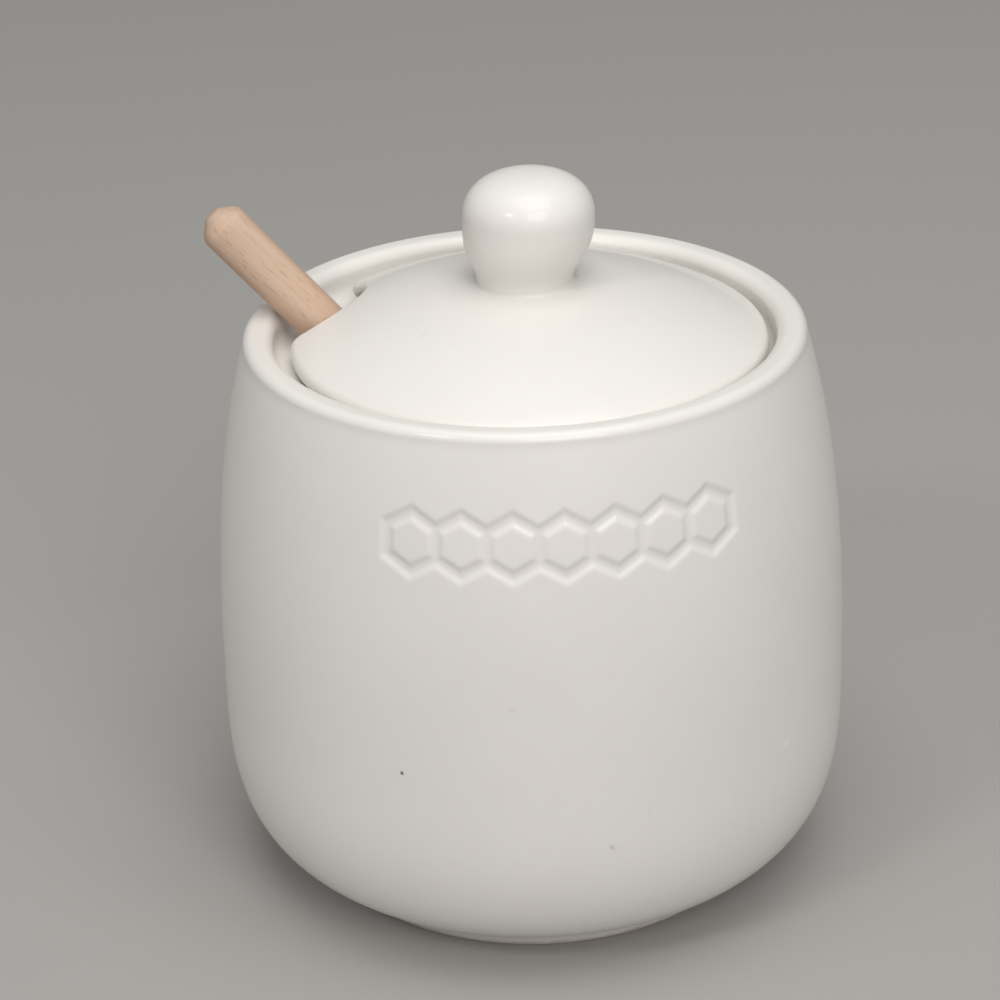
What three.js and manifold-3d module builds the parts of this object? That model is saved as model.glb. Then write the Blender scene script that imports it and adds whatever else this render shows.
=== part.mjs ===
// Honey pot: a round stoneware pot, its loose domed lid with a knob, and the wooden
// dipper that leans out through a notch in the lid. Millimetres, +Z up. The origin is
// on the pot's axis where its foot stands, and -Y is the side that carries the pattern.

import * as THREE from 'three';
import { mergeVertices } from 'three/addons/utils/BufferGeometryUtils.js';
import Module from 'manifold-3d';

const wasm = await Module();
wasm.setup();

// Pot: outside
const bellyRadius = 55;
const bellyHeight = 34.65;
const rimRadius = 48.3;
const rimHeight = 100.85;
const rimRounding = 1.8;
const sideCurve = 2.7;        // how late the side draws in between belly and rim
const baseHeight = 34.2;      // belly down to where the base curve would reach the axis
const baseCurve = 2.97;
const baseSquareness = 4.7;

// Pot: foot ring
const footRadius = 38.2;
const footWidth = 3.2;
const footHeight = 1.6;
const footGroove = 0.9;
const footBevel = 0.4;
const underside = 1.8;

// Pot: inside
const wall = 5;
const floorHeight = 7;
const innerCurve = 3;
const recessRadius = 43.55;
const innerEdgeHeight = 100.75;
const innerEdgeRounding = 2.4;
const ledgeFillet = 0.8;
const ledgeHeight = 95;
const ledgeRadius = 38.6;
const ledgeDepth = 3;
const ledgeFoot = 82;         // height at which the ledge has run out into the wall

// Lid
const lidShift = 0.8;         // the loose lid lies this far to the right
const lidRadius = 40.9;
const lidEdgeHeight = 97.3;
const lidEdgeRounding = 2;
const domeMeetsEdge = 65;     // degrees round the edge, from outwards, where the dome begins
const lidTop = 108.75;        // where the dome would reach the axis
const domeRadius = 87.3;
const lidThickness = 3.2;
const seatGap = 0.3;
const skirtOuter = 36.8;
const skirtInner = 34;
const skirtDepth = 3.2;

// Knob
const knobRadius = 11.2;
const knobCentre = 120.3;
const knobCrown = 7.5;
const knobCrownCurve = 2.2;
const knobCrownSquareness = 2.4;
const knobUnder = 11;
const knobUnderCurve = 1.72;
const neckRadius = 8.3;
const neckFillet = 0.9;

// Notch in the lid
const notchRadius = 13.1;
const notchDistance = 43.2;   // its centre, from the lid's axis
const notchHeading = 161;     // degrees from +X
const frontCorner = 3;
const backCorner = 7;

// Dipper
const handleRadius = 4.15;
const handleChamfer = 2.7;
const headBevel = 0.8;
const dipperLength = 135.3;
const dipperLean = 42;        // degrees from upright
const dipperHeading = 176.5;  // degrees from +X, the way that it leans
const crossingHeight = 98;    // the dipper's axis passes here
const crossingPlace = [-34.36, 7.7];
const lengthAboveCrossing = 28.2;
const headRadius = 10;
const headLength = 30;
const headTaper = 0.22;       // share of its radius that the head loses towards its ends
const headGrooves = 5;
const grooveDepth = 4.5;
const grooveWidth = 2.6;

// Fineness
const roundSteps = 60;
const handleSteps = 16;

const degrees = Math.PI / 180;

const point = (radius, height) => new THREE.Vector2(radius, height);

// Points of an arc about (radius, height), angles in degrees from outwards, up positive
function arc(radius, height, size, from, to, steps) {
  const points = [];
  for (let step = 0; step <= steps; step += 1) {
    const angle = (from + (to - from) * step / steps) * degrees;
    points.push(point(radius + size * Math.cos(angle), height + size * Math.sin(angle)));
  }
  return points;
}

// A point at a distance from the centre and an angle in degrees, seen from above
const polar = (distance, angle) => point(
  distance * Math.cos(angle * degrees),
  distance * Math.sin(angle * degrees),
);

// Points where a curve takes its radius from the height, between two heights
function curve(radiusAt, from, to, steps, spread = (share) => share) {
  const points = [];
  for (let step = 0; step <= steps; step += 1) {
    const height = from + (to - from) * spread(step / steps);
    points.push(point(radiusAt(height), height));
  }
  return points;
}

// A profile turned about +Z
function turned(profile, steps) {
  return new THREE.LatheGeometry(profile, steps).rotateX(Math.PI / 2);
}

// Radius of the pot's outside at a height above the foot
function outside(height) {
  if (height < bellyHeight) {
    const drop = Math.min((bellyHeight - height) / baseHeight, 1);
    return bellyRadius * (1 - drop ** baseCurve) ** (1 / baseSquareness);
  }
  const rise = (height - bellyHeight) / (rimHeight - rimRounding - bellyHeight);
  return bellyRadius - (bellyRadius - rimRadius) * rise ** sideCurve;
}

// Radius of the pot's inside below the ledge
function inside(height) {
  if (height > bellyHeight) {
    return outside(height) - wall;
  }
  const drop = (bellyHeight - height) / (bellyHeight - floorHeight);
  return (bellyRadius - wall) * Math.max(1 - drop ** innerCurve, 0) ** (1 / innerCurve);
}

function potProfile() {
  const shoulder = rimHeight - rimRounding;
  const bodyStart = footHeight + footGroove;
  const crowded = (share) => 1 - Math.cos(share * Math.PI / 2);
  const crowdedLow = (share) => Math.sin(share * Math.PI / 2);
  const ledgeUnder = ledgeHeight - ledgeDepth;
  const ledgeWall = inside(ledgeFoot);
  const ledgeRunOut = (height) => {
    const share = (ledgeUnder - height) / (ledgeUnder - ledgeFoot);
    return ledgeRadius + (ledgeWall - ledgeRadius) * Math.sin(share * Math.PI / 2);
  };
  return [
    point(0, underside),
    point(footRadius - footWidth - footGroove, underside),
    point(footRadius - footWidth, 0),
    point(footRadius - footBevel, 0),
    point(footRadius, footBevel),
    point(footRadius, footHeight),
    point(footRadius - footGroove, footHeight + footGroove / 2),
    ...curve(outside, bodyStart, bellyHeight, 12, crowded),
    ...curve(outside, bellyHeight, shoulder, 9).slice(1),
    ...arc(rimRadius - rimRounding, shoulder, rimRounding, 0, 90, 3).slice(1),
    ...arc(recessRadius + innerEdgeRounding, innerEdgeHeight - innerEdgeRounding,
      innerEdgeRounding, 90, 180, 4),
    point(recessRadius, ledgeHeight + ledgeFillet),
    point(recessRadius - ledgeFillet, ledgeHeight),
    point(ledgeRadius, ledgeHeight),
    ...curve(ledgeRunOut, ledgeUnder, ledgeFoot, 3),
    ...curve(inside, ledgeFoot, bellyHeight, 4).slice(1),
    ...curve(inside, bellyHeight, floorHeight, 10, crowdedLow).slice(1),
  ];
}

// Height of the lid's dome at a distance from its axis
function dome(radius) {
  return lidTop - domeRadius + Math.sqrt(domeRadius ** 2 - radius ** 2);
}

// Radius of the knob between its neck and its widest place
function knobUnderside(height) {
  const share = (knobCentre - height) / knobUnder;
  const swell = 0.5 + 0.5 * Math.cos(Math.PI * share ** knobUnderCurve);
  return neckRadius + (knobRadius - neckRadius) * swell;
}

// Radius of the knob above its widest place
function knobCap(height) {
  const share = Math.min((height - knobCentre) / knobCrown, 1);
  return knobRadius * (1 - share ** knobCrownCurve) ** (1 / knobCrownSquareness);
}

function lidProfile() {
  const seat = ledgeHeight + seatGap;
  const edgeRadius = lidRadius - lidEdgeRounding;
  const domeSteps = (from, to, steps, drop) => {
    const points = [];
    for (let step = 0; step <= steps; step += 1) {
      const radius = from + (to - from) * step / steps;
      points.push(point(radius, dome(radius) - drop));
    }
    return points;
  };
  const fillet = neckRadius + neckFillet;
  const crownward = (share) => Math.sin(share * Math.PI / 2);
  return [
    ...domeSteps(0, skirtInner, 6, lidThickness),
    point(skirtInner, seat - skirtDepth),
    point(skirtOuter, seat - skirtDepth),
    point(skirtOuter, seat),
    ...arc(edgeRadius, lidEdgeHeight, lidEdgeRounding, -90, domeMeetsEdge, 5),
    ...domeSteps(edgeRadius, fillet, 6, 0).slice(1),
    point(neckRadius, dome(fillet) + neckFillet),
    ...curve(knobUnderside, knobCentre - knobUnder, knobCentre, 6),
    ...curve(knobCap, knobCentre, knobCentre + knobCrown, 7, crownward).slice(1),
  ];
}

// Where a rounded corner of the notch lies, and the angles at which it meets the scoop,
// about the scoop's centre, and the lid's edge, about the lid's axis
function notchCorner(size) {
  const reach = notchRadius + size;
  const distance = lidRadius - size;
  const across = (notchDistance ** 2 + distance ** 2 - reach ** 2) / (2 * notchDistance);
  const sideways = Math.sqrt(distance ** 2 - across ** 2);
  return {
    across,
    sideways,
    atScoop: Math.atan2(sideways, across - notchDistance) / degrees,
    atEdge: Math.atan2(sideways, across) / degrees,
  };
}

// Plan of the notch about the lid's axis, opening along +X: a round scoop whose two
// corners run out into the lid's edge in arcs, a small one in front and a wider one behind.
// The points beyond the edge only close the plan outside the lid
function notchPlan() {
  const front = notchCorner(frontCorner);
  const back = notchCorner(backCorner);
  const beyond = 2 * lidRadius;
  return new THREE.Shape([
    polar(beyond, front.atEdge),
    ...arc(front.across, front.sideways, frontCorner, front.atEdge, front.atScoop - 180, 5),
    ...arc(notchDistance, 0, notchRadius, front.atScoop, 360 - back.atScoop, 16).slice(1),
    ...arc(back.across, -back.sideways, backCorner, 180 - back.atScoop, -back.atEdge, 7).slice(1),
    polar(beyond, -back.atEdge),
  ]);
}

// A closed geometry as a solid that can be cut
function solid(geometry) {
  const bare = geometry.index ? geometry.toNonIndexed() : geometry;
  bare.deleteAttribute('normal');
  bare.deleteAttribute('uv');
  const merged = mergeVertices(bare, 1e-4);
  const index = merged.index.array;
  const triangles = [];
  for (let corner = 0; corner < index.length; corner += 3) {
    const [a, b, c] = index.slice(corner, corner + 3);
    if (a !== b && b !== c && c !== a) {
      triangles.push(a, b, c);
    }
  }
  return new wasm.Manifold(new wasm.Mesh({
    numProp: 3,
    vertProperties: new Float32Array(merged.attributes.position.array),
    triVerts: new Uint32Array(triangles),
  }));
}

function geometryOf(body) {
  const mesh = body.getMesh();
  const geometry = new THREE.BufferGeometry();
  geometry.setAttribute('position', new THREE.BufferAttribute(mesh.vertProperties, 3));
  geometry.setIndex(new THREE.BufferAttribute(mesh.triVerts, 1));
  return geometry;
}

function lidGeometry() {
  const notchTool = new THREE.ExtrudeGeometry(notchPlan(), {
    depth: lidTop,
    bevelEnabled: false,
  });
  notchTool.rotateZ(notchHeading * degrees);
  return geometryOf(solid(turned(lidProfile(), roundSteps)).subtract(solid(notchTool)));
}

// The dipper stands on its own axis, from the lower end of its head at 0
function dipperProfile() {
  const pitch = headLength / (headGrooves + 1);
  const headAt = (height) => {
    const share = 2 * height / headLength - 1;
    return headRadius * (1 - headTaper * share ** 2);
  };
  const points = [point(0, 0), point(headAt(0) - headBevel, 0)];
  points.push(point(headAt(headBevel), headBevel));
  for (let groove = 1; groove <= headGrooves; groove += 1) {
    const low = groove * pitch - grooveWidth / 2;
    const high = groove * pitch + grooveWidth / 2;
    points.push(point(headAt(low), low));
    points.push(point(headRadius - grooveDepth, low));
    points.push(point(headRadius - grooveDepth, high));
    points.push(point(headAt(high), high));
  }
  points.push(point(headAt(headLength - headBevel), headLength - headBevel));
  points.push(point(handleRadius, headLength));
  points.push(point(handleRadius, dipperLength - handleChamfer));
  points.push(point(handleRadius - handleChamfer, dipperLength));
  points.push(point(0, dipperLength));
  return points;
}

const glaze = { color: 0xe4dfd7, roughness: 0.3, metalness: 0 };

function pot() {
  const mesh = new THREE.Mesh(
    turned(potProfile(), roundSteps),
    new THREE.MeshStandardMaterial(glaze),
  );
  mesh.name = 'pot';
  return mesh;
}

function lid() {
  const mesh = new THREE.Mesh(lidGeometry(), new THREE.MeshStandardMaterial(glaze));
  mesh.name = 'lid';
  mesh.position.x = lidShift;
  return mesh;
}

function dipper() {
  const beech = new THREE.MeshStandardMaterial({ color: 0xc79d78, roughness: 0.65, metalness: 0 });
  const mesh = new THREE.Mesh(turned(dipperProfile(), handleSteps), beech);
  const lean = dipperLean * degrees;
  const heading = dipperHeading * degrees;
  const along = new THREE.Vector3(
    Math.sin(lean) * Math.cos(heading),
    Math.sin(lean) * Math.sin(heading),
    Math.cos(lean),
  );
  mesh.name = 'dipper';
  mesh.quaternion.setFromUnitVectors(new THREE.Vector3(0, 0, 1), along);
  mesh.position.set(crossingPlace[0], crossingPlace[1], crossingHeight);
  mesh.position.addScaledVector(along, lengthAboveCrossing - dipperLength);
  return mesh;
}

const honeyPot = new THREE.Group();
honeyPot.add(pot(), lid(), dipper());

export default honeyPot;
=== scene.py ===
# %% [markdown]
# # A honey pot with its lid and dipper
#
# Three things are made here: a round stoneware pot, the loose domed lid that lies on a
# ledge inside its rim, and a turned wooden dipper that leans out through a notch in the
# lid. A solid model of the same three pieces is loaded first. It gives the sizes, and
# every piece that is made here stands exactly where its solid stands.

# %% Load the solid model
import math

import bmesh
import bpy
from mathutils import Matrix, Vector, noise


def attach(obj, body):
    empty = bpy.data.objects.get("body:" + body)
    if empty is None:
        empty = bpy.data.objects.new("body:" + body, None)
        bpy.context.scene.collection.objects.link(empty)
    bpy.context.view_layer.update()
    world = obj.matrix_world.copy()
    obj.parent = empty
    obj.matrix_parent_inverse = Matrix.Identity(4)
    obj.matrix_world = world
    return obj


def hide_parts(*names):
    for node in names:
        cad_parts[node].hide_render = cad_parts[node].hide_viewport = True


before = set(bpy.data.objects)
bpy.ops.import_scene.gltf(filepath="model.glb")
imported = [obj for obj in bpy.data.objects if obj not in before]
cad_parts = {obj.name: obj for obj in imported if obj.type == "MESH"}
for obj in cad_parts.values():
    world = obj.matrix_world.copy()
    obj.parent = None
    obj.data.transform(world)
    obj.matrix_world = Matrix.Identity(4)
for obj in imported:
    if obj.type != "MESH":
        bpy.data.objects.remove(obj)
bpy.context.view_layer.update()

# %% [markdown]
# ## The view
#
# The camera is a short telephoto lens about half a metre away, looking down at 25
# degrees and held very slightly askew. A longer lens from further away would make the
# rim look flatter than it should.

# %% Camera
LENS = 117.86
CAMERA_PLACE = Vector((-0.00493, -0.52026, 0.30973))
LOOK_AT = Vector((-0.00509, 0.0, 0.0673))
ROLL = math.radians(-1.75)

ahead = (LOOK_AT - CAMERA_PLACE).normalized()
level = ahead.cross(Vector((0, 0, 1))).normalized()
upward = level.cross(ahead)
across = level * math.cos(ROLL) + upward * math.sin(ROLL)
upright = upward * math.cos(ROLL) - level * math.sin(ROLL)

camera_data = bpy.data.cameras.new("camera")
camera_data.lens = LENS
camera_data.clip_start = 0.01
camera = bpy.data.objects.new("camera", camera_data)
camera.matrix_world = Matrix.Translation(CAMERA_PLACE) @ Matrix((
    (across.x, upright.x, -ahead.x),
    (across.y, upright.y, -ahead.y),
    (across.z, upright.z, -ahead.z),
)).to_4x4()
bpy.context.collection.objects.link(camera)
bpy.context.scene.camera = camera
print("camera at", [round(v, 4) for v in CAMERA_PLACE])

# %% [markdown]
# ## Profiles
#
# Pot, lid knob and dipper are all round, as things thrown or turned on a wheel or a
# lathe are. Each starts as half of its section: a line of points, each a distance from
# the axis and a height. Sizes are written in millimetres here, as on a workshop drawing,
# and turned into metres when the points are placed. Crisp corners look wrong under glaze,
# which always rounds them, so one helper rounds the corners that ask for it.

# %% Helpers for a profile
MM = 0.001


def arc_points(radius, height, size, start, end, steps):
    """Points of an arc about a centre, angles in degrees from outwards."""
    angles = [math.radians(start + (end - start) * k / steps) for k in range(steps + 1)]
    return [(radius + size * math.cos(a), height + size * math.sin(a)) for a in angles]


def curve_points(radius_at, start, end, steps, spread=lambda share: share):
    """Points where the radius follows from the height, between two heights."""
    heights = [start + (end - start) * spread(k / steps) for k in range(steps + 1)]
    return [(radius_at(h), h) for h in heights]


def rounded(corners, steps=5):
    """The line through the corners, where each may name the size of its rounding."""
    line = []
    for k, corner in enumerate(corners):
        if len(corner) < 3:
            line.append(corner)
            continue
        here = Vector(corner[:2])
        before = (Vector(corners[k - 1][:2]) - here).normalized()
        after = (Vector(corners[k + 1][:2]) - here).normalized()
        half = before.angle(after) / 2
        centre = here + (before + after).normalized() * corner[2] / math.sin(half)
        first = here + before * corner[2] / math.tan(half) - centre
        last = here + after * corner[2] / math.tan(half) - centre
        turn = first.angle_signed(last)
        for step in range(steps + 1):
            angle = -turn * step / steps
            line.append(tuple(centre + Matrix.Rotation(angle, 2) @ first))
    return line


def smooth_step(low, high, value):
    """0 below low, 1 above high, and a soft change in between."""
    share = min(max((value - low) / (high - low), 0), 1)
    return share * share * (3 - 2 * share)


# %% [markdown]
# ## The pot
#
# The side swells to its widest place about a third of the way up and draws in again to
# the rim, and the lower third turns in quickly to a low foot ring. Two formulas give
# that line, one above the widest place and one below, so it stays as smooth as a thrown
# pot's. Modelling it from a cylinder with loop cuts would work as well, but the line
# would wobble.
#
# The inside follows the outside 5 mm further in, down to the floor, and carries a ledge
# on which the lid lies.

# %% Pot profile
BELLY_RADIUS, BELLY_HEIGHT = 55.0, 34.65
RIM_RADIUS, RIM_HEIGHT, RIM_ROUNDING = 48.3, 100.85, 1.8
SIDE_CURVE = 2.7
BASE_HEIGHT, BASE_CURVE, BASE_SQUARENESS = 34.2, 2.97, 4.7
FOOT_RADIUS, FOOT_WIDTH, FOOT_HEIGHT, FOOT_GROOVE, UNDERSIDE = 38.5, 3.2, 1.7, 1.1, 1.8
WALL, FLOOR_HEIGHT, INNER_CURVE = 5.0, 7.0, 3.0
RECESS_RADIUS, INNER_EDGE, INNER_ROUNDING, RECESS_CORNER = 43.1, 100.75, 2.1, 2.3
LEDGE_RADIUS, LEDGE_HEIGHT, LEDGE_DEPTH, LEDGE_FOOT = 38.6, 95.0, 3.0, 82.0
LEDGE_TOP_ROUNDING, LEDGE_LOW_ROUNDING = 0.8, 0.6
FOOT_INNER_ROUNDING, FOOT_LOW_ROUNDING, FOOT_ROUNDING, GROOVE_ROUNDING = 0.6, 0.5, 0.3, 0.2
GROOVE_RISE = 0.6
SHOULDER = RIM_HEIGHT - RIM_ROUNDING
BAND_LOW, BAND_HIGH = 75.0, 90.4


def outside(height):
    if height < BELLY_HEIGHT:
        drop = min((BELLY_HEIGHT - height) / BASE_HEIGHT, 1)
        return BELLY_RADIUS * (1 - drop ** BASE_CURVE) ** (1 / BASE_SQUARENESS)
    rise = (height - BELLY_HEIGHT) / (SHOULDER - BELLY_HEIGHT)
    return BELLY_RADIUS - (BELLY_RADIUS - RIM_RADIUS) * rise ** SIDE_CURVE


def inside(height):
    if height > BELLY_HEIGHT:
        return outside(height) - WALL
    drop = (BELLY_HEIGHT - height) / (BELLY_HEIGHT - FLOOR_HEIGHT)
    return (BELLY_RADIUS - WALL) * max(1 - drop ** INNER_CURVE, 0) ** (1 / INNER_CURVE)


def ledge_under(height):
    top = LEDGE_HEIGHT - LEDGE_DEPTH
    share = (top - height) / (top - LEDGE_FOOT)
    return LEDGE_RADIUS + (inside(LEDGE_FOOT) - LEDGE_RADIUS) * math.sin(share * math.pi / 2)


foot = [
    (0, UNDERSIDE),
    (FOOT_RADIUS - FOOT_WIDTH - FOOT_GROOVE, UNDERSIDE, FOOT_INNER_ROUNDING),
    (FOOT_RADIUS - FOOT_WIDTH, 0, FOOT_LOW_ROUNDING),
    (FOOT_RADIUS, 0, FOOT_ROUNDING),
    (FOOT_RADIUS, FOOT_HEIGHT, FOOT_ROUNDING),
    (FOOT_RADIUS - FOOT_GROOVE, FOOT_HEIGHT + GROOVE_RISE, GROOVE_ROUNDING),
]
side = (
    curve_points(outside, FOOT_HEIGHT + FOOT_GROOVE, BELLY_HEIGHT, 40,
                 lambda share: 1 - math.cos(share * math.pi / 2))
    + curve_points(outside, BELLY_HEIGHT, BAND_LOW, 24)[1:]
    + curve_points(outside, BAND_LOW, BAND_HIGH, 52)[1:]
    + curve_points(outside, BAND_HIGH, SHOULDER, 7)[1:]
)
rim = (
    arc_points(RIM_RADIUS - RIM_ROUNDING, SHOULDER, RIM_ROUNDING, 0, 86, 12)[1:]
    + arc_points(RECESS_RADIUS + INNER_ROUNDING, INNER_EDGE - INNER_ROUNDING, INNER_ROUNDING,
                 88, 180, 14)
)
ledge = [
    (RECESS_RADIUS, LEDGE_HEIGHT, RECESS_CORNER),
    (LEDGE_RADIUS, LEDGE_HEIGHT, LEDGE_TOP_ROUNDING),
    (LEDGE_RADIUS, LEDGE_HEIGHT - LEDGE_DEPTH, LEDGE_LOW_ROUNDING),
]
well = (
    curve_points(ledge_under, LEDGE_HEIGHT - LEDGE_DEPTH, LEDGE_FOOT, 8)[1:]
    + curve_points(inside, LEDGE_FOOT, BELLY_HEIGHT, 12)[1:]
    + curve_points(inside, BELLY_HEIGHT, FLOOR_HEIGHT, 26,
                   lambda share: math.sin(share * math.pi / 2))[1:]
)
pot_line = rounded(foot + side + rim + ledge + well)
print("pot profile:", len(pot_line), "points, rim at", RIM_HEIGHT, "mm")

# %% [markdown]
# ## Turning the pot
#
# Spin sweeps the line round the axis. The front carries a pressed pattern with strokes
# under 2 mm wide, so the columns are close together there and far apart elsewhere: one spin
# for the front and one for the rest. Afterwards the doubled points on the seam and on
# the axis are merged, and the faces are turned outwards.

# %% Spin the pot
FRONT_START, FRONT_END = math.radians(-121), math.radians(-47.5)
FRONT_STEPS, REST_STEPS = 236, 128
AXIS = Vector((0, 0, 1))
MERGE_DISTANCE, DEGENERATE_LENGTH = 2e-6, 1e-7


def line_of_points(mesh, line, heading):
    """The profile as a chain of edges, standing at a heading round the axis."""
    points = [
        mesh.verts.new((r * MM * math.cos(heading), r * MM * math.sin(heading), h * MM))
        for r, h in line
    ]
    return points + [mesh.edges.new(pair) for pair in zip(points, points[1:])]


def spun(mesh, pieces, angle, steps):
    """Sweeps the pieces round the axis and returns the last copy of them."""
    swept = bmesh.ops.spin(mesh, geom=pieces, cent=(0, 0, 0), axis=AXIS, angle=angle,
                           steps=steps, use_merge=False)
    return swept["geom_last"]


def closed(mesh):
    """Merges doubled points and turns every face outwards."""
    bmesh.ops.remove_doubles(mesh, verts=mesh.verts, dist=MERGE_DISTANCE)
    bmesh.ops.dissolve_degenerate(mesh, edges=mesh.edges, dist=DEGENERATE_LENGTH)
    bmesh.ops.recalc_face_normals(mesh, faces=mesh.faces)
    open_edges = sum(not edge.is_manifold for edge in mesh.edges)
    if open_edges:
        raise ValueError(f"{open_edges} edges are open")


pot_mesh = bmesh.new()
first = line_of_points(pot_mesh, pot_line, FRONT_START)
middle = spun(pot_mesh, first, FRONT_END - FRONT_START, FRONT_STEPS)
spun(pot_mesh, middle, 2 * math.pi - (FRONT_END - FRONT_START), REST_STEPS)
closed(pot_mesh)
print("pot:", len(pot_mesh.faces), "faces")

# %% [markdown]
# ## The pressed honeycomb
#
# A row of hexagon outlines is pressed into the clay under the rim before it is glazed,
# and the glaze has softened the edges. It could be a bump in the material, but a stroke
# a third of a millimetre deep shows a lit side and a shaded side, so the surface itself
# is moved. How far a point lies from the nearest outline decides how deep it goes.

# %% Press the pattern
CELLS = 7
STROKE = 1.75
STROKE_SOFTNESS = 0.65
STROKE_DEPTH = 0.36
CELL_HEIGHT = 9.75
PATTERN_HEADING = math.radians(-84.25)
PATTERN_HEIGHT = 82.75
SKIN_DEPTH = 0.5  # points this close to the outside belong to it
CELL_APOTHEM = CELL_HEIGHT * math.sqrt(3) / 4


def cell_distance(along, up):
    """How far a place on the side is from the nearest hexagon outline, in mm."""
    nearest = BELLY_RADIUS
    for cell in range(CELLS):
        x = along - (cell - (CELLS - 1) / 2) * 2 * CELL_APOTHEM
        reach = max(abs(x), abs(x / 2 + up * math.sqrt(3) / 2),
                    abs(x / 2 - up * math.sqrt(3) / 2))
        nearest = min(nearest, abs(reach - CELL_APOTHEM))
    return nearest


def pressed(place):
    """Depth of the pattern at a place on the outside, in mm."""
    heading = math.atan2(place.y, place.x)
    along = (heading - PATTERN_HEADING) * outside(PATTERN_HEIGHT)
    gap = cell_distance(along, place.z / MM - PATTERN_HEIGHT)
    edge = STROKE / 2
    return STROKE_DEPTH * (1 - smooth_step(edge - STROKE_SOFTNESS, edge + STROKE_SOFTNESS, gap))


moved = 0
for point in pot_mesh.verts:
    height = point.co.z / MM
    radius = point.co.xy.length / MM
    if BAND_LOW < height < BAND_HIGH and radius > outside(height) - SKIN_DEPTH and point.co.y < 0:
        depth = pressed(point.co)
        if depth > 0:
            point.co.xy *= 1 - depth / radius
            moved += 1
print("pressed in:", moved, "points")

# %% [markdown]
# ## From mesh to object
#
# Each piece is written into an object with smooth shading. It takes the place of the
# solid with its name, and moves with the part's only body.

# %% Finish a mesh as an object
def piece_from(mesh, name, node):
    """Makes the object, smooth shaded, in the place of the solid that it stands for."""
    data = bpy.data.meshes.new(name)
    mesh.to_mesh(data)
    mesh.free()
    data.shade_smooth()
    piece = bpy.data.objects.new(name, data)
    bpy.context.collection.objects.link(piece)
    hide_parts(node)
    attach(piece, "root")
    print(name, len(data.polygons), "faces")
    return piece


pot = piece_from(pot_mesh, "pot_body", "pot")

# %% [markdown]
# ## The lid
#
# The lid is round but for the notch that lets the dipper out, so a spin won't make it.
# It could be spun whole and cut with a boolean, but the cut would leave a sharp edge, and
# the real edge is as softly rounded in the notch as everywhere else. Here the lid is
# grown instead: a small disc on top of the knob, whose outer edge is extruded again and
# again. Each new ring is placed by a rule, first as circles for the knob and the dome,
# then closer and closer to the notched outline, round the edge, and back underneath.

# %% Lid outline seen from above
LID_SHIFT = 0.8
LID_RADIUS, EDGE_ROUNDING, NOTCH_EDGE_ROUNDING = 40.9, 1.9, 1.4
LID_TOP, DOME_RADIUS, LID_THICKNESS = 108.75, 87.3, 3.2
NOTCH_RADIUS, NOTCH_DISTANCE, FRONT_CORNER, BACK_CORNER = 12.6, 43.2, 3.0, 7.0
NOTCH_HEADING = math.radians(161)


def notch_corner(size):
    """Where a rounded corner of the notch lies, and the angles at which it starts and ends."""
    reach, distance = NOTCH_RADIUS + size, LID_RADIUS - size
    along = (NOTCH_DISTANCE ** 2 + distance ** 2 - reach ** 2) / (2 * NOTCH_DISTANCE)
    aside = math.sqrt(distance ** 2 - along ** 2)
    return (along, aside, math.degrees(math.atan2(aside, along)),
            math.degrees(math.atan2(aside, along - NOTCH_DISTANCE)))


front_along, front_aside, front_edge, front_scoop = notch_corner(FRONT_CORNER)
back_along, back_aside, back_edge, back_scoop = notch_corner(BACK_CORNER)
outline = (
    arc_points(0, 0, LID_RADIUS, front_edge, 360 - back_edge, 190)
    + arc_points(back_along, -back_aside, BACK_CORNER, -back_edge, 180 - back_scoop, 20)[1:]
    + arc_points(NOTCH_DISTANCE, 0, NOTCH_RADIUS, 360 - back_scoop, front_scoop, 44)[1:]
    + arc_points(front_along, front_aside, FRONT_CORNER, front_scoop - 180, front_edge, 14)[1:-1]
)
outline = [Matrix.Rotation(NOTCH_HEADING, 2) @ Vector(place) for place in outline]
print("lid outline:", len(outline), "points")

# %% [markdown]
# ## Growing the lid
#
# Each ring has one point for every point of the outline, at the same heading. Near the
# edge the ring is set in from the outline at right angles, so the rounding is even all
# round, also in the corners of the notch. Under the lid a low ring keeps it centred in
# the pot, and fades out where the notch cuts through.

# %% Knob and dome
KNOB_RADIUS, KNOB_CENTRE, KNOB_CROWN, KNOB_UNDER = 11.2, 120.3, 7.5, 11.0
UNDER_CURVE, CROWN_CURVE, CROWN_SQUARENESS = 1.72, 2.2, 2.4
NECK_RADIUS, NECK_FILLET = 8.3, 0.8
KNOB_LEAN = 0.9  # how far the knob leans to the right, since it was joined by hand
NECK_SHARE, LEAN_START = 0.55, 14  # the neck stands off to the left by this share of it
INNER_CIRCLE = 28.0


def dome(radius):
    return LID_TOP - DOME_RADIUS + math.sqrt(DOME_RADIUS ** 2 - radius ** 2)


def knob_under(height):
    share = (KNOB_CENTRE - height) / KNOB_UNDER
    swell = 0.5 + 0.5 * math.cos(math.pi * share ** UNDER_CURVE)
    return NECK_RADIUS + (KNOB_RADIUS - NECK_RADIUS) * swell


def knob_cap(height):
    share = min((height - KNOB_CENTRE) / KNOB_CROWN, 1)
    return KNOB_RADIUS * (1 - share ** CROWN_CURVE) ** (1 / CROWN_SQUARENESS)


fillet_outside = NECK_RADIUS + NECK_FILLET
circles = (
    curve_points(knob_cap, KNOB_CENTRE + KNOB_CROWN, KNOB_CENTRE, 26,
                 lambda share: 1 - math.cos(share * math.pi / 2))[1:]
    + curve_points(knob_under, KNOB_CENTRE, KNOB_CENTRE - KNOB_UNDER, 20)[1:]
    + arc_points(fillet_outside, dome(fillet_outside) + NECK_FILLET, NECK_FILLET, 180, 263, 7)
    + [(r, dome(r)) for r in (11.0, 12.5, 14.5, 17.0, 20.0, 24.0, INNER_CIRCLE)]
)
print("knob and dome:", len(circles), "circles")

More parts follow.
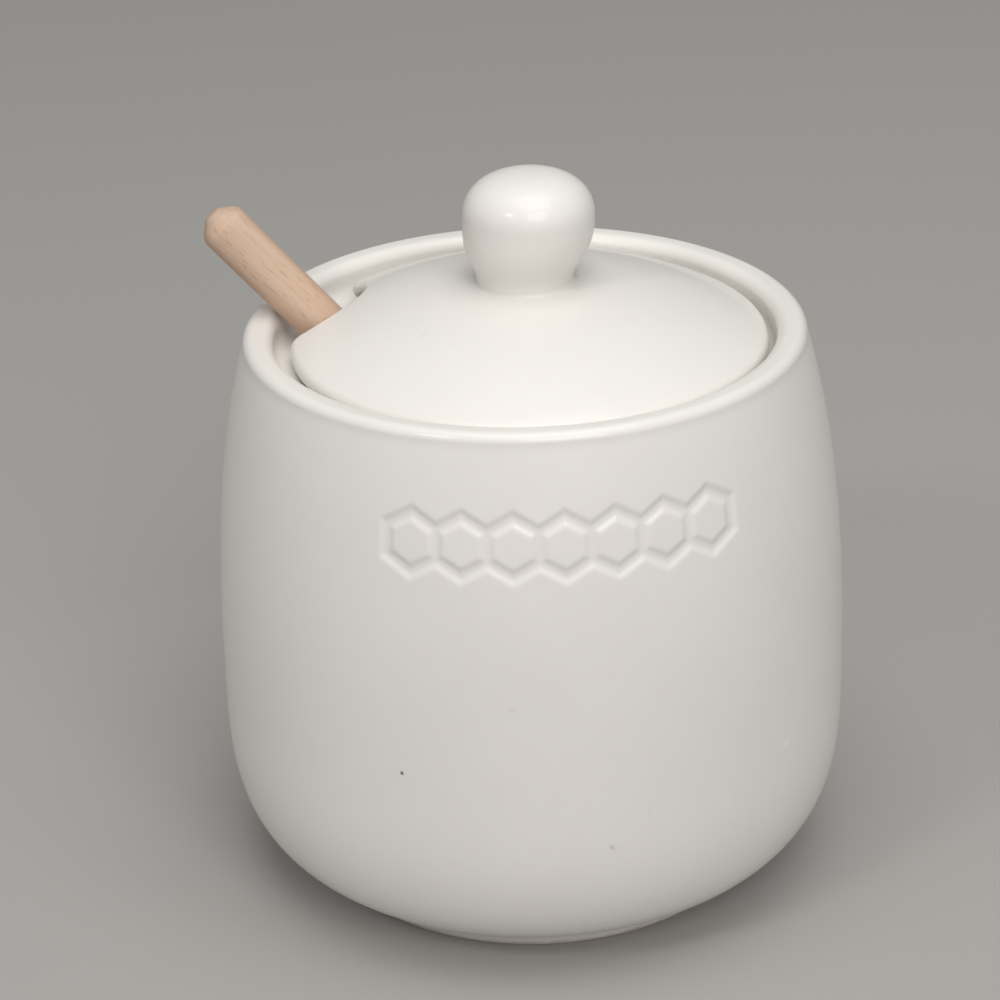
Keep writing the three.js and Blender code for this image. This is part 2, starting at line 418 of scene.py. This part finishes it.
# %% Rings round the edge and underneath
SCOOP_REACH = (35.5, 40.5)  # distances from the axis between which the edge changes
ROUND_REACH = (39.0, 40.8)  # and those between which the low ring appears
heading_of = [math.atan2(p.y, p.x) for p in outline]
count = len(outline)
outward = []
for k, place in enumerate(outline):
    ahead_of, behind = outline[(k + 1) % count], outline[k - 1]
    tangent = (ahead_of - behind).normalized()
    outward.append(Vector((tangent.y, -tangent.x)))
rounding = [
    NOTCH_EDGE_ROUNDING
    + (EDGE_ROUNDING - NOTCH_EDGE_ROUNDING) * smooth_step(*SCOOP_REACH, p.length)
    for p in outline
]
away_from_notch = [smooth_step(*ROUND_REACH, p.length) for p in outline]


def on_circle(k, radius):
    return Vector((radius * math.cos(heading_of[k]), radius * math.sin(heading_of[k])))


def meeting_angle(k):
    """Angle round the edge, from outwards, at which it meets the dome."""
    reach = outline[k].length - rounding[k] / 2
    slope = reach / math.sqrt(DOME_RADIUS ** 2 - reach ** 2)
    slope *= outward[k].dot(outline[k].normalized())
    return math.pi / 2 - math.atan(slope)


meeting = [meeting_angle(k) for k in range(count)]


def edge_place(k, share):
    """A place on the rounded edge, from the dome at 0 to the underside at 1."""
    size = rounding[k]
    top = outline[k] - outward[k] * size * (1 - math.cos(meeting[k]))
    centre = dome(top.length) - size * math.sin(meeting[k])
    angle = meeting[k] + (-math.pi / 2 - meeting[k]) * share
    flat = outline[k] - outward[k] * size * (1 - math.cos(angle))
    return Vector((flat.x, flat.y, centre + size * math.sin(angle)))


def top_place(k, share):
    """A place on the outer part of the dome, from the inner circle to the edge."""
    flat = on_circle(k, INNER_CIRCLE).lerp(edge_place(k, 0).xy, share)
    return Vector((flat.x, flat.y, dome(flat.length)))


UNDER_BLEND = 0.5  # share of the way in at which the plain underside follows the dome
SKIRT = [(38.0, 95.3), (37.1, 95.3), (36.8, 95.0), (36.8, 92.6), (36.3, 92.1), (34.5, 92.1),
         (34.0, 92.6), (34.0, 96.2), (33.0, 97.6), (30.5, 99.4)]


def under_place(k, step):
    """A place under the lid: on the low ring, or on the dome's underside at the notch."""
    radius, height = SKIRT[step]
    ringed = on_circle(k, radius).to_3d()
    ringed.z = height
    share = (step + 1) / (len(SKIRT) + 1)
    edge = edge_place(k, 1)
    flat = edge.xy.lerp(on_circle(k, INNER_CIRCLE), share)
    plain = flat.to_3d()
    climb = dome(flat.length) - LID_THICKNESS - edge.z
    plain.z = edge.z + climb * smooth_step(0, UNDER_BLEND, share)
    return plain.lerp(ringed, away_from_notch[k])


# %% Grow the lid
TOP_RINGS, EDGE_RINGS = 10, 18
UNDER_RADII = (28.0, 24.0, 19.0, 14.0, 9.0, 4.0)


def lean(height):
    """Sideways shift of the knob at a height: none on the dome, left below, right above."""
    neck = KNOB_CENTRE - KNOB_UNDER
    return KNOB_LEAN * (smooth_step(neck, KNOB_CENTRE, height) - NECK_SHARE
                        * smooth_step(dome(LEAN_START), neck, height))


rings = [
    [on_circle(k, r).to_3d() + Vector((lean(h), 0, h)) for k in range(count)] for r, h in circles
]
rings += [[top_place(k, s / TOP_RINGS) for k in range(count)] for s in range(1, TOP_RINGS + 1)]
rings += [
    [edge_place(k, s / EDGE_RINGS) for k in range(count)] for s in range(1, EDGE_RINGS + 1)
]
rings += [[under_place(k, s) for k in range(count)] for s in range(len(SKIRT))]
rings += [
    [on_circle(k, r).to_3d() + Vector((0, 0, dome(r) - LID_THICKNESS)) for k in range(count)]
    for r in UNDER_RADII
]

lid_mesh = bmesh.new()
order = lid_mesh.verts.layers.int.new("order")
bmesh.ops.create_circle(lid_mesh, cap_ends=True, cap_tris=True, segments=count, radius=MM)
lid_mesh.verts.ensure_lookup_table()
rim_points = [v for v in lid_mesh.verts if len(v.link_edges) == 3]
rim_points.sort(key=lambda v: math.atan2(v.co.y, v.co.x))
crown = next(v for v in lid_mesh.verts if len(v.link_edges) > 3)
crown.co = Vector((lean(KNOB_CENTRE), 0, KNOB_CENTRE + KNOB_CROWN)) * MM
turns = sorted(range(count), key=lambda k: math.remainder(heading_of[k], 2 * math.pi))
for point, k in zip(rim_points, turns):
    point[order] = k
    point.co = rings[0][k] * MM
edges = [e for e in lid_mesh.edges if e.is_boundary]
for ring in rings[1:]:
    grown = bmesh.ops.extrude_edge_only(lid_mesh, edges=edges)["geom"]
    for point in (g for g in grown if isinstance(g, bmesh.types.BMVert)):
        point.co = ring[point[order]] * MM
    edges = [g for g in grown if isinstance(g, bmesh.types.BMEdge)]
bottom = bmesh.ops.contextual_create(lid_mesh, geom=edges)["faces"]
bmesh.ops.poke(lid_mesh, faces=bottom)
bmesh.ops.translate(lid_mesh, verts=lid_mesh.verts, vec=(LID_SHIFT * MM, 0, 0))
closed(lid_mesh)
lid = piece_from(lid_mesh, "pot_lid", "lid")

# %% [markdown]
# ## The dipper
#
# A dipper is turned from one stick of beech: a plain round handle that swells a little
# towards its blunt tip, and a grooved head that holds the honey. It is spun standing
# upright on its own axis and then laid over as a whole, so its mesh ends up in its place
# and its object stays at the origin.

# %% Turn the dipper
HANDLE_RADIUS, HANDLE_CHAMFER, DIPPER_LENGTH = 4.15, 2.7, 135.3
CHAMFER_ROUNDING, TIP_ROUNDING, HANDLE_STEPS = 2.2, 1.2, 30
HEAD_RADIUS, HEAD_LENGTH, HEAD_GROOVES, HEAD_ROUNDING = 10.0, 30.0, 5, 0.8
GROOVE_DEPTH, GROOVE_WIDTH, GROOVE_EDGE, HEAD_TAPER = 4.5, 2.6, 0.4, 0.22
DIPPER_COLUMNS = 64
WAVER_SCALE, WAVER, FLARE, TIP_WAVER = 180, 0.008, 0.03, 0.0006
LEAN, LEAN_HEADING = math.radians(42), math.radians(176.5)
CROSSING = Vector((-34.36, 7.7, 98.0))
ABOVE_CROSSING = 28.2
CROSSING_LENGTH = DIPPER_LENGTH - ABOVE_CROSSING


def head_at(height):
    return HEAD_RADIUS * (1 - HEAD_TAPER * (2 * height / HEAD_LENGTH - 1) ** 2)


head = [(0, 0), (head_at(0), 0, HEAD_ROUNDING)]
for groove in range(1, HEAD_GROOVES + 1):
    middle = groove * HEAD_LENGTH / (HEAD_GROOVES + 1)
    low, high = middle - GROOVE_WIDTH / 2, middle + GROOVE_WIDTH / 2
    head += [(head_at(low), low, GROOVE_EDGE), (HEAD_RADIUS - GROOVE_DEPTH, low, GROOVE_EDGE),
             (HEAD_RADIUS - GROOVE_DEPTH, high, GROOVE_EDGE), (head_at(high), high, GROOVE_EDGE)]
head += [(head_at(HEAD_LENGTH), HEAD_LENGTH, HEAD_ROUNDING),
         (HANDLE_RADIUS, HEAD_LENGTH, HEAD_ROUNDING)]
plain_length = DIPPER_LENGTH - HANDLE_CHAMFER - 2 - HEAD_LENGTH
handle = [(HANDLE_RADIUS, HEAD_LENGTH + plain_length * k / HANDLE_STEPS)
          for k in range(2, HANDLE_STEPS + 1)]
handle += [(HANDLE_RADIUS, DIPPER_LENGTH - HANDLE_CHAMFER, CHAMFER_ROUNDING),
           (HANDLE_RADIUS - HANDLE_CHAMFER, DIPPER_LENGTH, TIP_ROUNDING), (0, DIPPER_LENGTH)]

dipper_mesh = bmesh.new()
bmesh.ops.spin(dipper_mesh, geom=line_of_points(dipper_mesh, rounded(head + handle, 3), 0),
               cent=(0, 0, 0), axis=AXIS, angle=2 * math.pi, steps=DIPPER_COLUMNS, use_merge=True)
closed(dipper_mesh)
for point in dipper_mesh.verts:
    waver = noise.noise(point.co * WAVER_SCALE)
    flare = smooth_step(CROSSING_LENGTH, DIPPER_LENGTH, point.co.z / MM)
    point.co.xy *= 1 + WAVER * waver + FLARE * flare
    point.co.z += TIP_WAVER * flare * waver

along = Vector((math.sin(LEAN) * math.cos(LEAN_HEADING),
                math.sin(LEAN) * math.sin(LEAN_HEADING), math.cos(LEAN)))
dipper_foot = (CROSSING - along * CROSSING_LENGTH) * MM
laid_over = AXIS.rotation_difference(along)
bmesh.ops.rotate(dipper_mesh, verts=dipper_mesh.verts, cent=(0, 0, 0),
                 matrix=laid_over.to_matrix())
bmesh.ops.translate(dipper_mesh, verts=dipper_mesh.verts, vec=dipper_foot)
dipper = piece_from(dipper_mesh, "honey_dipper", "dipper")

# %% [markdown]
# ## Shader maths
#
# A material is a graph of nodes. Writing it as sums and products reads better than a
# list of links, so a small class wraps one output of a node. Plus, minus and times on it
# add Math nodes, and one method adds any other node.

# %% A socket with operators
class Signal:
    """One output of a material's node."""

    def __init__(self, tree, output):
        self.tree = tree
        self.output = output

    def node(self, kind, settings, sockets, output=None):
        """Adds a node: its settings first, then the values or links of its sockets."""
        made = self.tree.nodes.new(kind)
        for name, value in settings.items():
            setattr(made, name, value)
        for name, value in sockets.items():
            socket = next(s for s in made.inputs if s.enabled and name in (s.name, s.identifier))
            if isinstance(value, Signal):
                self.tree.links.new(value.output, socket)
            else:
                socket.default_value = value
        shown = [s for s in made.outputs if s.enabled]
        return Signal(self.tree, shown[0] if output is None else made.outputs[output])

    def math(self, operation, first, second):
        return self.node("ShaderNodeMath", {"operation": operation},
                         {"Value": first, "Value_001": second})

    def __add__(self, other):
        return self.math("ADD", self, other)

    __radd__ = __add__

    def __sub__(self, other):
        return self.math("SUBTRACT", self, other)

    def __rsub__(self, other):
        return self.math("SUBTRACT", other, self)

    def __mul__(self, other):
        return self.math("MULTIPLY", self, other)

    __rmul__ = __mul__

    def soft(self, low, high):
        """0 below low, 1 above high, with a soft change in between."""
        return self.node("ShaderNodeMapRange", {"interpolation_type": "SMOOTHSTEP"},
                         {"Value": self, "From Min": low, "From Max": high})


def new_material(name, constants):
    """A material, its Principled shader with its constants set, and the object's places."""
    material = bpy.data.materials.new(name)
    material.use_nodes = True
    tree = material.node_tree
    shader = tree.nodes["Principled BSDF"]
    for socket, value in constants.items():
        shader.inputs[socket].default_value = value
    places = Signal(tree, tree.nodes.new("ShaderNodeTexCoord").outputs["Object"])
    return material, shader, places


def blend_colour(factor, first, second):
    return factor.node("ShaderNodeMix", {"data_type": "RGBA", "blend_type": "MIX"},
                       {"Factor": factor, "A": first, "B": second})


def clouds(places, size, detail=2.0, roughness=0.5):
    """Soft noise whose patches are about size millimetres wide."""
    return places.node("ShaderNodeTexNoise", {}, {"Vector": places, "Scale": 1 / (size * MM),
                                                  "Detail": detail, "Roughness": roughness})


# %% [markdown]
# ## Glaze
#
# A satin glaze over stoneware is warm white and nearly even. What makes it look fired
# rather than plastic is small: soft clouding where it lies thicker or thinner, a skin
# that isn't quite flat, a few specks and pinholes, and a warmer colour where it has drawn
# back from an edge and the clay shows through.

# %% Glaze finish
GLAZE = (0.80, 0.775, 0.735, 1)
GLAZE_THIN = (0.70, 0.63, 0.55, 1)
BARE_CLAY = (0.62, 0.55, 0.47, 1)
SPECK = (0.10, 0.085, 0.07, 1)
ROUGHNESS, WIDE_ROUGHNESS, FINE_ROUGHNESS, BARE_ROUGHNESS = 0.40, 0.07, 0.05, 0.3
COAT = 0.35
BARE_LOW, BARE_HIGH, BARE_WAVER = 0.00035, 0.0008, 0.0006
RELIEF = 0.00006


def speck_mask(places, place, size):
    """1 inside a speck and 0 outside, with an uneven edge."""
    far = places.node("ShaderNodeVectorMath", {"operation": "DISTANCE"},
                      {"Vector": places, "Vector_001": [v * MM for v in place]}, "Value")
    uneven = far + (clouds(places, size, 1.0) - 0.5) * (size * MM * 0.8)
    return 1 - uneven.soft(size * MM * 0.25, size * MM * 0.75)


def glaze_material(name, specks):
    """The glaze, with its own specks: their place, size, colour and strength."""
    material, shader, places = new_material(name, {
        "Specular IOR Level": 0.5, "IOR": 1.5, "Coat Roughness": 0.12, "Coat IOR": 1.45,
    })
    wide = clouds(places, 26.0)
    fine = clouds(places, 3.5, 3.0)
    colour = blend_colour(wide.soft(0.25, 0.75), [v * 0.985 for v in GLAZE[:3]] + [1],
                          [min(v * 1.012, 1) for v in GLAZE[:3]] + [1])
    colour = blend_colour(fine.soft(0.45, 0.75) * 0.04, colour, GLAZE_THIN)
    for place, size, tone, strength in specks:
        colour = blend_colour(speck_mask(places, place, size) * strength, colour, tone)
    height = places.node("ShaderNodeSeparateXYZ", {}, {"Vector": places}, "Z")
    bare = 1 - (height + (clouds(places, 2.0) - 0.5) * BARE_WAVER).soft(BARE_LOW, BARE_HIGH)
    colour = blend_colour(bare, colour, BARE_CLAY)
    skin = clouds(places, 7.0, 2.0) * 0.6 + clouds(places, 1.6, 2.0) * 0.12
    relief = places.node("ShaderNodeBump", {},
                         {"Strength": 1.0, "Distance": RELIEF, "Height": skin})
    rough = (ROUGHNESS + WIDE_ROUGHNESS * wide + FINE_ROUGHNESS * fine
             + BARE_ROUGHNESS * bare)
    tree = material.node_tree
    tree.links.new(colour.output, shader.inputs["Base Color"])
    tree.links.new(rough.output, shader.inputs["Roughness"])
    tree.links.new((COAT - COAT * bare).output, shader.inputs["Coat Weight"])
    tree.links.new(relief.output, shader.inputs["Normal"])
    return material


GREY = (0.40, 0.38, 0.34, 1)
PALE = (0.95, 0.94, 0.92, 1)
body_specks = [
    ((-22.6, -50.1, 41.6), 0.62, SPECK, 0.9),
    ((11.7, -53.6, 28.2), 0.95, GREY, 0.42),
    ((42.3, -35.2, 36.8), 1.4, PALE, 0.5),
    ((-4.2, -54.5, 55.0), 0.9, GREY, 0.16),
    ((-39.7, -36.7, 65.1), 0.7, GREY, 0.15),
    ((18.1, -51.9, 33.8), 0.6, GREY, 0.15),
    ((-17.3, -52.1, 28.9), 0.6, GREY, 0.12),
]
pot_glaze = glaze_material("pot_glaze_finish", body_specks)
lid_glaze = glaze_material("lid_glaze_finish", [((-17.0, -16.0, 105.5), 0.7, GREY, 0.12)])
pot.data.materials.append(pot_glaze)
lid.data.materials.append(lid_glaze)

# %% [markdown]
# ## Beech
#
# Beech is pale and pinkish, with fine straight grain along the stick, many short darker
# flecks, and a duller tone on the cut end, which shows end grain. The pattern is
# stretched along the dipper's own axis, so a Mapping node first turns the places back to
# an upright stick.

# %% Wood finish
BEECH = (0.655, 0.475, 0.355, 1)
BEECH_DARK = (0.56, 0.385, 0.275, 1)
FLECK = (0.42, 0.27, 0.185, 1)
END_GRAIN = (0.50, 0.38, 0.29, 1)
GRAIN_SHARE, FLECK_SHARE, END_SHARE = 0.45, 0.32, 0.75
END_START, END_FULL = 2.4, 0.2  # distances from the tip
WOOD_RELIEF = 0.00012

beech, shader, places = new_material("beech_finish", {"Specular IOR Level": 0.35})
stick = places.node("ShaderNodeMapping", {"vector_type": "TEXTURE"},
                    {"Vector": places, "Location": dipper_foot, "Rotation": laid_over.to_euler()})
stretched = stick.node("ShaderNodeVectorMath", {"operation": "MULTIPLY"},
                       {"Vector": stick, "Vector_001": (1, 1, 0.07)})
flecked = stick.node("ShaderNodeVectorMath", {"operation": "MULTIPLY"},
                     {"Vector": stick, "Vector_001": (1, 1, 0.16)})
grain = clouds(stretched, 0.9, 3.0, 0.6)
bands = clouds(stretched, 3.2, 2.0)
flecks = clouds(flecked, 0.42, 1.0).soft(0.62, 0.74)
wood = blend_colour(bands.soft(0.3, 0.7), BEECH, BEECH_DARK)
wood = blend_colour(grain.soft(0.4, 0.75) * GRAIN_SHARE, wood, BEECH_DARK)
wood = blend_colour(flecks * FLECK_SHARE, wood, FLECK)
up_stick = stick.node("ShaderNodeSeparateXYZ", {}, {"Vector": stick}, "Z")
end_grain = up_stick.soft((DIPPER_LENGTH - END_START) * MM, (DIPPER_LENGTH - END_FULL) * MM)
wood = blend_colour(end_grain * END_SHARE, wood, END_GRAIN)
pores = grain * 0.6 - flecks * 0.5
relief = stick.node("ShaderNodeBump", {},
                    {"Strength": 1.0, "Distance": WOOD_RELIEF, "Height": pores})
tree = beech.node_tree
tree.links.new(wood.output, shader.inputs["Base Color"])
tree.links.new((0.56 + 0.14 * grain).output, shader.inputs["Roughness"])
tree.links.new(relief.output, shader.inputs["Normal"])
dipper.data.materials.append(beech)

# %% [markdown]
# ## Floor, wall and light
#
# The pot stands on a plain pale floor before a plain grey wall. One large soft light
# stands in front and a little to the right, one hangs above, and a small one on the left
# puts a clear spark on the knob. Lights close to the pot would be brighter on its rim than
# on its foot, so all three stand more than a metre away.

# %% Stage
def plain_material(name, colour, roughness):
    material, shader, places = new_material(name, {"Roughness": roughness})
    shade = clouds(places, 400.0, 1.0)
    mixed = blend_colour(shade, [v * 0.97 for v in colour] + [1], [v * 1.03 for v in colour] + [1])
    material.node_tree.links.new(mixed.output, shader.inputs["Base Color"])
    return material


def flat_sheet(name, size, turn, place, material):
    mesh = bmesh.new()
    bmesh.ops.create_grid(mesh, x_segments=1, y_segments=1, size=size)
    bmesh.ops.rotate(mesh, verts=mesh.verts, cent=(0, 0, 0), matrix=Matrix.Rotation(turn, 3, "X"))
    bmesh.ops.translate(mesh, verts=mesh.verts, vec=place)
    data = bpy.data.meshes.new(name)
    mesh.to_mesh(data)
    mesh.free()
    sheet = bpy.data.objects.new(name, data)
    sheet.data.materials.append(material)
    bpy.context.collection.objects.link(sheet)


WALL_DISTANCE = 1.2
FLOOR_PAINT, FLOOR_ROUGHNESS = (0.38, 0.37, 0.355), 0.8
WALL_PAINT, WALL_ROUGHNESS = (0.36, 0.355, 0.34), 0.9
flat_sheet("floor", WALL_DISTANCE, 0, (0, 0, 0),
           plain_material("floor_paint", FLOOR_PAINT, FLOOR_ROUGHNESS))
flat_sheet("wall", WALL_DISTANCE, math.pi / 2, (0, WALL_DISTANCE, 0),
           plain_material("wall_paint", WALL_PAINT, WALL_ROUGHNESS))


POT_MIDDLE = Vector((0, 0, 0.06))
ROOM_COLOUR, ROOM_STRENGTH = (0.97, 0.98, 1.0, 1), 0.325


def softbox(name, place, size, power, colour):
    """A square light that faces the pot."""
    data = bpy.data.lights.new(name, "AREA")
    data.shape = "SQUARE"
    data.size = size
    data.energy = power
    data.color = colour
    light = bpy.data.objects.new(name, data)
    towards = POT_MIDDLE - Vector(place)
    light.rotation_euler = towards.to_track_quat("-Z", "Y").to_euler()
    light.location = place
    bpy.context.collection.objects.link(light)


softbox("front_light", (0.38, -1.4, 1.15), 0.9, 12.5, (1.0, 0.985, 0.965))
softbox("top_light", (0.1, -0.25, 1.5), 1.1, 10.6, (1.0, 0.99, 0.975))
softbox("small_light", (-0.68, -0.77, 0.92), 0.2, 2.2, (1.0, 0.98, 0.95))
world = bpy.data.worlds.new("soft_room")
world.use_nodes = True
background = world.node_tree.nodes["Background"]
background.inputs["Color"].default_value = ROOM_COLOUR
background.inputs["Strength"].default_value = ROOM_STRENGTH
bpy.context.scene.world = world
bpy.context.scene.view_settings.view_transform = "Standard"
